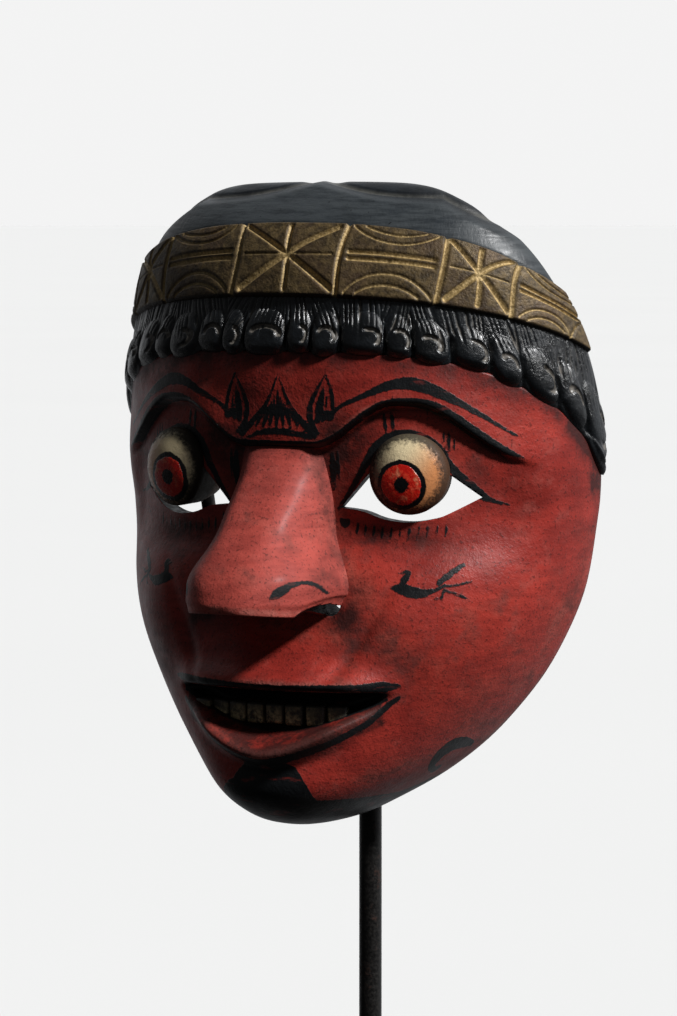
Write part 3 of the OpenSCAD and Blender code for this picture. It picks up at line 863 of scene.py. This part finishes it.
def noseSkin(u, t):
    # t runs down the ridge from the root to the tip's edge at 1, back under the nose to the face at 2,
    # and up behind it, inside the wood, to the root again at 3
    down = np.where(t < 1, t, np.clip(3 - t, 0, 1))
    under = np.clip(t - 1, 0, 1)
    spread = u * (1.3 - 0.3 * u * u)
    inside = 1 - np.abs(spread) ** 6
    half = 13.5 + 3.3 * ramp(0, 0.6, down) + (nose["half"] - 16.8) * ramp(0.5, 0.86, down)
    x = (half - 1.5 * ramp(0.94, 1, down)) * spread
    z = nose["rootZ"] - nose["length"] * down - 1.0 * ramp(0.97, 1, down) \
        - 2.2 * down * spread ** 2 + 3.4 * ramp(0.8, 1, down) * ramp(0.72, 0.98, np.abs(spread))
    seat = faceY(x, z) + nose["sunk"]
    reach = nose["reach"] * (1 - (1 - down) ** 1.7) - 0.8 * ramp(0.97, 1, down)
    fullness = 2.1 + 1.2 * ramp(0, 0.45, down) - 0.7 * ramp(0.75, 1, down)
    bulge = np.clip(1 - np.abs(spread) ** fullness, 0, 1) ** 0.9
    stands = reach * bulge + (0.2 + nose["sunk"]) * inside * ramp(0, 0.04, down)
    bowl = 2.0 * np.sin(np.pi * under) * inside * (under > 0)
    behind = t > 2
    thick = 1.5 * inside * np.minimum(1, np.minimum(t - 2, 3 - t) * 20)
    y = np.where(behind, seat + thick, seat - stands * (1 - under))
    z = np.where(behind, z, z + bowl - 1.0 * under * inside)
    return np.stack([x, y, z], -1)


def makeNose(paint, black):
    bm = bmesh.new()
    ridge, underside = nose["ridgeRows"], nose["underRows"]
    rows = 2 * ridge + underside
    verts, u, t = unitGrid(bm, nose["columns"], rows)
    t = np.interp(t * rows, [0, ridge, ridge + underside, rows], [0, 1, 2, 3])
    moveTo(verts, inFrame(noseSkin(u, t)))
    lip = [v for v, at, side in zip(verts, t, u) if 0.97 < at < 1.07 and abs(side) < 0.98]
    for _ in range(2):
        bmesh.ops.smooth_vert(bm, verts=lip, factor=0.5, use_axis_x=True, use_axis_y=True, use_axis_z=True)
    bmesh.ops.remove_doubles(bm, verts=bm.verts, dist=0.0000005)
    bmesh.ops.recalc_face_normals(bm, faces=bm.faces)
    piece = makePiece("noseCarved", bm, [paint, black], "mask", "nose")
    for side in (-1, 1):
        cutAway(piece, nostrilCutter(side, 1))
    x, y, z = vertexPlaces(piece).T
    wingLine = both([[(13.2, -31.8, 0.5), (14.3, -30.6, 1.05), (15.8, -28.9, 0.75), (17.6, -28.2, 0.5),
                      (19.3, -28.9, 0.4), (20.8, -31.4, 0.2)]])
    giveValue(piece, "ink", np.where(y < faceY(x, z), inkOf(wingLine, x, faceY(x, z), z), -9))
    ax = np.abs(x)
    wings = ax / (13.5 + 0.25 * np.clip(-z, 0, 40))
    # painted shade: darker at the root under the brow, along the wings where they meet the face, and on the
    # underside
    darkening = 0.45 * ramp(2, 7, z) + 0.35 * ramp(0.84, 0.97, wings)
    darkening += 0.8 * ramp(-36.6, -37.6, z + 2.2 * wings ** 2)
    giveValue(piece, "paintedShade", np.clip(darkening, 0, 1))
    # a ridge along the lower edge of the tip, which the paint makes lighter: worn paint and a painted
    # highlight
    giveValue(piece, "relief", 1.2 * mound(0, z + 2.7 * wings ** 2, 0, -35, 1, 1.6) * (ax < 19) - 0.15)
    print("nose carved:", len(piece.data.polygons), "faces")
    return piece


peg = {
    "clearance": 0.1,   # off the radius of the eyeball
    "domed": 4.7,       # height of the domed front
    "rimY": -5.3,
    "backY": 6.0,
    "steps": 96,
}


def makeEye(name, side, node):
    # a turned peg with a domed front and a flat back against the shell
    ball, back = face["ball"] - peg["clearance"], peg["backY"]
    bm = bmesh.new()
    outline = [(ball * math.sin(math.radians(t)), peg["rimY"] - peg["domed"] * math.cos(math.radians(t)))
               for t in range(0, 91, 3)]
    outline += [(ball - 0.5, 1), (ball - 2, back - 0.6), (ball - 2.6, back), (0, back)]
    profile = [bm.verts.new((r, y, 0)) for r, y in outline]
    edges = [bm.edges.new(pair) for pair in zip(profile, profile[1:])]
    bmesh.ops.spin(bm, geom=profile + edges, cent=(0, 0, 0), axis=(0, 1, 0), angle=2 * math.pi,
                   steps=peg["steps"], use_merge=True)
    bmesh.ops.remove_doubles(bm, verts=bm.verts, dist=0.001)
    bmesh.ops.recalc_face_normals(bm, faces=bm.faces)
    intoEyePlace(bm, side)
    paint = eyePaint("enamelledWoodBall" + node.split("_")[0].capitalize(), side, 0.013 * (side + 2))
    piece = makePiece(name, bm, [paint], "mask", node, sharp=40)
    print(name, "turned")
    return piece


teeth = {
    "count": 8,
    "spread": 46.0,
    "height": 6.1,
    "topZ": -62.3,
    "deep": 5.6,
    "gap": 0.12,
    "arc": 75.0,       # radius of the row
    "rounding": 0.8,
}


def makeTeeth(paint):
    pitch = teeth["spread"] / teeth["count"]
    bm = bmesh.new()
    rng = np.random.default_rng(5)
    for k in range(teeth["count"]):
        x = (k - (teeth["count"] - 1) / 2) * pitch
        wide, tall, deep = pitch - teeth["gap"], teeth["height"] - 0.2 + rng.uniform(-0.5, 0.1), teeth["deep"]
        made = bmesh.ops.create_cube(bm, size=1)["verts"]
        edges = list({e for v in made for e in v.link_edges})
        bmesh.ops.scale(bm, verts=made, vec=(wide, deep, tall))
        cut = bmesh.ops.bevel(bm, geom=edges, offset=teeth["rounding"], segments=4, affect="EDGES",
                              profile=0.5, material=-1)
        made = list({v for f in cut["faces"] for v in f.verts} | {v for v in made if v.is_valid})
        turn = Matrix.Rotation(math.atan2(x, teeth["arc"]) + rng.uniform(-0.05, 0.05), 3, "Z")
        middle = Vector((x, float(faceY(x, -61.5)) - 1.2, teeth["topZ"] - tall / 2))
        for v in made:
            v.co.y -= 0.5 * math.cos(math.pi * v.co.x / wide)
            v.co.x *= 1 - 0.06 * (0.5 - v.co.z / tall)
            v.co = inFrame(turn @ v.co + middle)
    piece = makePiece("teethRow", bm, [paint], "mask", "upper_teeth")
    x, y, z = vertexPlaces(piece).T
    nearest = np.abs((x / pitch + teeth["count"] / 2) % 1 - 0.5) * 2
    # gilt on the crowns only: the gaps stay dark, and so do the tops, as painted shade under the upper lip
    giveValue(piece, "crown", ramp(0.97, 0.7, nearest) * ramp(-62.6, -64, z))
    print("teeth set")
    return piece


tuck = 0.3      # how far each layer of the headdress reaches into the wood under it


def shellUnder(s, angle, depth):
    return dome(s, angle) - depth * outward(s, angle)


def layerOf(name, layer, row, skin, material, node):
    # a carved layer: row(u, t) gives levels and angles, skin(u, t) its face and what the paint needs there
    bm = bmesh.new()
    kept = {key: bm.verts.layers.float.new(key) for key in ("cut", "edge", "front")}
    verts, u, t = unitGrid(bm, layer["columns"], layer["rows"])
    points, values = skin(u, t)
    moveTo(verts, inFrame(points))
    for key, amounts in values.items():
        for v, amount in zip(verts, amounts):
            v[kept[key]] = amount
    verts, u, t = unitGrid(bm, layer["columns"] // 4, layer["rows"] // 2)
    moveTo(verts, inFrame(shellUnder(*row(u, t), sunk + tuck)))
    closeShell(bm)
    piece = makePiece(name, bm, [material], "mask", node)
    print(name, "carved:", len(piece.data.polygons), "faces")
    return piece


def roundedEnds(u):
    # a layer's ends at the rim roll off
    return roundOff((1 - np.abs(u)) / 0.012)


hair = {
    "curls": 20,
    "hang": 0.11,       # how far the curls hang below the hairline, in levels
    "curl": 1.5,        # how much further the curls stand out
    "strand": 1.9,      # spacing of the cut strands
    "hook": 2.7,        # radius of the cut inside each curl
    "columns": 780,
    "rows": 84,
}


def roundHead(u):
    # the way round the head from rim to rim, from -1 to 1, at an even pace
    return 0.75 * columnAngle(u) / 90 + 0.25 * u


def curlPlace(u):
    # which curl a spot is on, and how far from its middle, from -1 to 1
    at = (roundHead(u) + 1) / 2 * hair["curls"]
    at = at + 0.2 * np.sin(2.3 * at) * np.sin(np.pi * (u + 1) / 2)
    curl = np.clip(np.floor(at), 0, hair["curls"] - 1)
    return curl, (at - curl) * 2 - 1


def hairRow(u, t):
    # each curl hangs a little below the hairline with a round end
    angle = columnAngle(u)
    curl, side = curlPlace(u)
    drop = hair["hang"] * (1 + 0.3 * np.sin(curl * 2.4)) * np.sqrt(np.clip(1 - side ** 2, 0, 1))
    start = hairLine(angle) - drop
    return start + (bandLow(angle) + 0.03 - start) * t, angle


def hairSkin(u, t):
    s, angle = hairRow(u, t)
    curl, side = curlPlace(u)
    uneven = 1 + 0.2 * np.sin(curl * 3.1)
    tall = 17.5 + 6 * share(angle) ** 2
    sx, st = side * 5 + 0.5 * np.sin(curl), (t - 0.23) * tall
    up = np.where(st > 0, st / 9.5, st / 4.3)
    ball = np.clip(1 - np.abs(sx / 4.9) ** 2.6 - np.abs(up) ** 2, 0, 1) ** 0.55
    end = roundOff(t / 0.15)
    above = -0.5 + end * (1.3 + hair["curl"] * ball)
    across = roundHead(u) * 105
    slant = 5 * np.sin(curl * 1.3) + 3 * np.sin(curl * 3.7) + 3 * np.sin(across * 0.17)
    across = across + (t - 0.5) * slant
    sway = 1.1 * np.sin(across * 0.31) + 0.9 * np.sin(across * 0.83)
    strand = np.abs(np.sin(np.pi * across / hair["strand"] + sway))
    combed = ramp(0.26, 0.5, t + 0.09 * np.sin(across * 0.8) - 0.06 * ball)
    cut = ramp(0.75, 0.05, strand) * combed * (0.6 + 0.4 * np.sin(across * 0.37 + 2 * np.sin(t * 5)))
    lean = 0.7 + 0.8 * np.sin(curl * 2.9)
    hx, ht = sx - 0.6, st - 1.2
    hook = np.abs(np.hypot(hx, ht) - hair["hook"] * uneven)
    hookCut = ramp(1.0, 0.25, hook) * ramp(-0.3, 0.4, np.cos(np.arctan2(ht, hx) - lean)) * ramp(0.1, 0.2, t)
    gap = ramp(0.84, 0.99, np.abs(side)) * ramp(0.5, 0.34, t)
    lift = above - 0.7 * cut * end - 0.75 * hookCut - 0.9 * gap * end
    points = dome(s, angle)
    wornAndHighlit = carving(points[:, 0], points[:, 2]) * ramp(0.08, 0, s - hairLine(angle))
    points += (wornAndHighlit + (lift + 0.6) * roundedEnds(u) - 0.6)[:, None] * outward(s, angle)
    return points, {"cut": np.clip(0.85 * cut + 1.1 * hookCut, 0, 1)}


band = {
    "proud": 5.2,
    "groove": 0.95,      # depth of the cut lines
    "half": 0.85,        # half their width
    "tall": 19.0,        # of a panel, across the band
    "edges": (15.5, 42.0, 58.0),   # where the upright cuts stand, measured across the face
    "columns": 520,
    "rows": 70,
}


def bandRow(u, t):
    angle = columnAngle(u)
    return bandLow(angle) + (bandHigh(angle) - bandLow(angle)) * t, angle


def alongBand():
    # distance round the band's middle line for each u, and the same for the places of the upright cuts
    u = np.linspace(-1, 1, 401)
    s, angle = bandRow(u, np.full(401, 0.5))
    line = dome(s, angle)
    length = lengthAlong(line)
    length -= length[200]
    edges = [float(np.interp(x, line[:, 0], length)) for x in band["edges"]]
    return line[:, 0], length, edges + [length[-1]]


def toSegment(px, pz, ax, az, bx, bz):
    t = np.clip(((px - ax) * (bx - ax) + (pz - az) * (bz - az)) / ((bx - ax) ** 2 + (bz - az) ** 2), 0, 1)
    return np.hypot(px - ax - t * (bx - ax), pz - az - t * (bz - az))


def starLines(px, pz, half, tall):
    # eight rays from the middle of a panel to its corners and sides
    far = np.full(len(px), 9.0)
    for ex, ez, wide in ((half, 0, -0.4), (-half, 0, -0.4), (0, tall, 0.2), (0, -tall, 0.2),
                         (half, tall, 0.25), (-half, tall, 0.25), (half, -tall, 0.25), (-half, -tall, 0.25)):
        far = np.minimum(far, toSegment(px, pz, 0, 0, ex * 0.94, ez * 0.94) - wide)
    return far


def bowLines(px, pz, half, tall):
    # a double line across the middle with nested bows above and below it
    far = np.minimum(toSegment(px, pz, -half * 0.9, 0.9, half * 0.9, 0.9),
                     toSegment(px, pz, -half * 0.9, -0.9, half * 0.9, -0.9))
    for way in (1, -1):
        for depth in (4.8, 2.2):
            reach = half * (0.96 if depth > 4 else 0.7)
            radius = (reach ** 2 + depth ** 2) / (2 * depth)
            middle = tall + radius - depth + 0.3
            onBow = np.abs(np.hypot(px, way * pz - middle) - radius)
            far = np.minimum(far, np.where(np.abs(px) < reach, onBow + 0.3, 9.0))
    return far


def bandSkin(u, t):
    s, angle = bandRow(u, t)
    line, length, edges = alongBand()
    along = np.interp(dome(s, angle)[:, 0], line, length)
    upright = (t - 0.5) * band["tall"]
    across = along + 0.35 * np.sin(upright / 4 + along / 9)
    stops = [-e for e in edges[::-1]] + edges
    far = np.full(len(u), 9.0)
    for i, (low, high) in enumerate(zip(stops, stops[1:])):
        inside = (along >= low) & (along < high)
        px, half = across[inside] - (low + high) / 2, (high - low) / 2
        draw = starLines if i % 2 else bowLines
        far[inside] = draw(px, upright[inside], half - 1.2, band["tall"] / 2 - 1)
        for e in (low, high):
            far[inside] = np.minimum(far[inside], np.abs(across[inside] - e - 0.05 * upright[inside]) - 0.15)
    cut = np.clip(1 - far / band["half"], 0, 1)
    edge = np.minimum(t, 1 - t) * band["tall"]
    marks = 0.12 * np.sin(along / 3.1) * np.sin(upright / 2.6)
    lift = band["proud"] * (0.86 + 0.14 * roundOff(edge / 0.9)) - band["groove"] * cut + marks
    lift = np.maximum(lift, 0.2) * roundedEnds(u)
    points = shellUnder(s, angle, sunk) + lift[:, None] * outward(s, angle)
    return points, {"cut": cut, "edge": ramp(0.7, 0.1, edge)}


cap = {
    "proud": 3.4,
    "columns": 300,
    "rows": 96,
}


def capRow(u, t):
    angle = columnAngle(u)
    return bandHigh(angle) + (topLevel - bandHigh(angle)) * t, angle


def capSkin(u, t):
    s, angle = capRow(u, t)
    base = shellUnder(s, angle, sunk)
    x, z = base[:, 0], base[:, 2]
    # the front face leans up to a scalloped edge, and the top falls back behind it
    scallop = 77.2 - 11 * (np.abs(x) / 55) ** 2.2 - 2.6 * np.abs(np.sin(x / 36 * math.pi))
    crease = np.abs(z - scallop)
    over = ramp(0, 3.5, scallop - z)
    edge = np.clip(t * 24, 0, 1)
    lift = cap["proud"] * (0.62 + 0.38 * over) * (0.85 + 0.15 * edge) - 0.45 * ramp(1.0, 0, crease) \
        + 0.25 * np.sin(x / 7) * over
    points = base + (np.maximum(lift, 0.2) * roundedEnds(u))[:, None] * outward(s, angle)
    return points, {"cut": 0.8 * ramp(0.7, 0.1, crease), "front": over}


# the stand keeps its CAD shapes and takes real finishes
def finishNodes():
    iron = blackIron("forgedBlackIron", 0.5)
    finishes = {
        "rod": iron,
        "fork": iron,
        "weld_bead": blackIron("weldedBlackIron", 0.7),
        "left_prong_sleeve": softPlastic("heatShrinkSleeve"),
        "right_prong_sleeve": softPlastic("heatShrinkSleeveRight"),
        "stop_collar": turnedMetal("blackenedSteelCollar", "#1b1b1c", "#3a3938", 0.34),
        "collar_screw": turnedMetal("zincPlatedScrew", "#8d9094", "#b9bcc0", 0.28),
        "grub_screw": turnedMetal("zincPlatedGrubScrew", "#7d8084", "#a9acb0", 0.3),
        "socket_flange": turnedMetal("blackenedSteelFlange", "#161617", "#2f2e2d", 0.36),
        "socket_bush": turnedMetal("turnedBrassBush", "#a8823c", "#d2ad62", 0.25),
        "flange_screws": turnedMetal("slottedSteelScrews", "#6d6f72", "#9da0a3", 0.3),
        "base_block": stainedFoot("ebonisedBeech"),
        "felt_pad": woolFelt("greenBlackWoolFelt"),
        "bite_strap": biteLeather("vegetableTannedStrap"),
        "strap_tacks": turnedMetal("ironTacks", "#2b2521", "#5a5049", 0.45),
    }
    for node, finish in finishes.items():
        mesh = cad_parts[node].data
        if not mesh.materials:
            mesh.materials.append(finish)
        for i in range(len(mesh.materials)):
            mesh.materials[i] = finish


view = {
    "azimuth": 30.0,     # from straight in front of the mask, towards its left
    "elevation": 4.0,
    "distance": 1.15,
    "shift": (-0.00907, -0.01296),   # sideways and up, from the point between the eyes
    "lens": 144.65,
}


def towards(azimuth, elevation):
    # direction to something round the mask, in degrees from straight in front of it and from the level
    a, e = math.radians(azimuth), math.radians(elevation)
    return Vector((math.sin(a) * math.cos(e), -math.cos(a) * math.cos(e), math.sin(e)))


def makeCamera():
    back = towards(view["azimuth"], view["elevation"])
    right = Vector((-back.y, back.x, 0)).normalized()
    up = back.cross(right)
    data = bpy.data.cameras.new("camera")
    data.lens = view["lens"]
    data.sensor_width = 36
    data.clip_start, data.clip_end = 0.02, 900
    camera = addObject("camera", data)
    camera.location = Vector((0, 0, eyeLevel / 1000)) + back * view["distance"] \
        + right * view["shift"][0] + up * view["shift"][1]
    camera.rotation_euler = Matrix((right, up, back)).transposed().to_euler()
    bpy.context.scene.camera = camera


studio = {
    "keyAzimuth": 83.0,      # the window, well round to the mask's left
    "keyHeight": 42.0,
    "keyStrength": 4.8,
    "keySoftness": 7.0,      # degrees across
    "room": 0.05,            # light from the room in front of the mask
    "behind": 0.68,          # and from the pale wall behind it
    "paper": 0.9,            # brightness of the backdrop as the camera sees it
}


def makeLight():
    data = bpy.data.lights.new("windowLight", "SUN")
    data.energy = studio["keyStrength"]
    data.angle = math.radians(studio["keySoftness"])
    lamp = addObject("windowLight", data)
    way = towards(studio["keyAzimuth"], studio["keyHeight"])
    lamp.rotation_euler = way.to_track_quat("Z", "Y").to_euler()
    world = bpy.data.worlds.new("paleRoom")
    world.use_nodes = True
    bpy.context.scene.world = world
    tree = world.node_tree
    light = tree.nodes["Background"]
    side = addNode(tree, "SeparateXYZ", {"Vector": addNode(tree, "TexCoord").outputs["Generated"]})
    brightness = between(side.outputs["Y"], -0.35, 0.85, studio["room"], studio["behind"])
    fromBelow = between(side.outputs["Z"], -0.7, 0.1, 0.3, 1.0)
    setSocket(light.inputs["Strength"], times(brightness, fromBelow))
    light.inputs["Color"].default_value = (0.95, 0.97, 1.0, 1)
    # the camera sees plain paper instead of this light
    paper = addNode(tree, "Background", {"Color": (studio["paper"],) * 3 + (1,), "Strength": 1.0})
    camera = addNode(tree, "LightPath").outputs["Is Camera Ray"]
    seen = addNode(tree, "MixShader", {0: camera, 1: light.outputs[0], 2: paper.outputs[0]})
    setSocket(tree.nodes["World Output"].inputs["Surface"], seen.outputs[0])
    bpy.context.scene.view_settings.view_transform = "Standard"


def makeFloor():
    # matt white card, wide enough to meet the backdrop; it lights nothing, as card that far off would not
    bm = bmesh.new()
    bmesh.ops.create_circle(bm, cap_ends=True, segments=96, radius=400)
    mesh = meshOf("paleFloor", bm)
    card, where = startMaterial("mattWhiteCard")
    tone = layered("#d8d8d7", (noiseOf(where, 900, 2), "#dbdbda"))
    mesh.materials.append(finish(card, {"Base Color": tone, "Roughness": 0.9, "Specular IOR Level": 0.1}))
    floor = addObject("paleFloor", mesh)
    floor.visible_diffuse = False
    floor.visible_glossy = False


lampBlack = flatBlack("lampBlackInCuts")
makeMaskFace(agedFacePaint("varnishedRedPaint"), oldWood("hollowedPuleWood"), lampBlack)
makeNose(agedFacePaint("varnishedRedPaintRubbedDull", 0.2), lampBlack)
makeEye("leftEyeBall", 1, "left_eyeball")
makeEye("rightEyeBall", -1, "right_eyeball")
makeTeeth(toothPaint("giltWornOverBlack"))
layerOf("hairCurls", hair, hairRow, hairSkin, hairPaint("glossyBlackEnamel"), "hair_fringe")
layerOf("goldBand", band, bandRow, bandSkin, bronzeGilding("agedBronzePowderPaint"), "headband")
layerOf("capTop", cap, capRow, capSkin, capPaint("wornIndigoPaint"), "cap_crown")
finishNodes()
print("stand finished")
makeCamera()
makeLight()
makeFloor()
